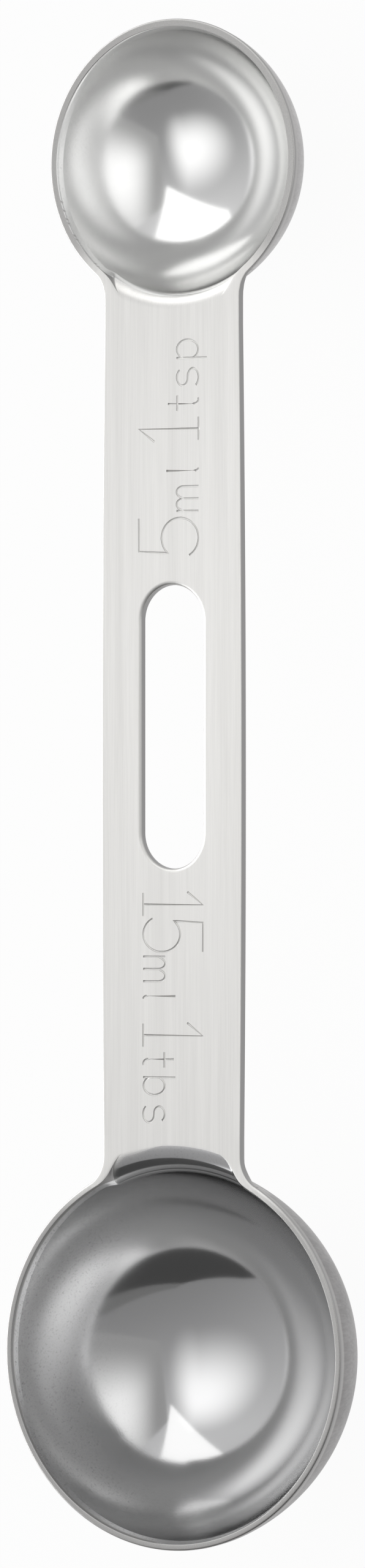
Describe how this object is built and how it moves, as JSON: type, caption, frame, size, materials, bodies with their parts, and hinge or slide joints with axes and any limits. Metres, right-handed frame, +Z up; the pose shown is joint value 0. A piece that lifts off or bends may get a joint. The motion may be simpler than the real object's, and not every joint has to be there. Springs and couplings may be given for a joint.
{
  "type": "double-ended measuring spoon",
  "caption": "Pressed steel measuring spoon with a large and a small round bowl joined by a flat slotted handle.",
  "frame": {"origin": "under the middle of the whole spoon, on the plane of the tablespoon bowl's lowest point", "axes": "+X along the handle towards the teaspoon bowl, +Z up and square to the rims, which lie level in one plane at z = 19.11 mm"},
  "size_m": [0.1674, 0.0426, 0.0191],
  "materials": {
    "satin_steel": "stainless sheet, brushed lengthwise to a fine satin",
    "polished_steel": "stainless sheet, drawn and polished inside, with a faint orange peel from the press",
    "ground_edge": "ground level and lightly deburred"
  },
  "bodies": {
    "root": {"tablespoon_bowl": "polished_steel", "tablespoon_rim": "ground_edge", "tablespoon_neck": "satin_steel", "handle": "satin_steel", "teaspoon_neck": "satin_steel", "teaspoon_rim": "ground_edge", "teaspoon_bowl": "polished_steel"}
  },
  "joints": []
}
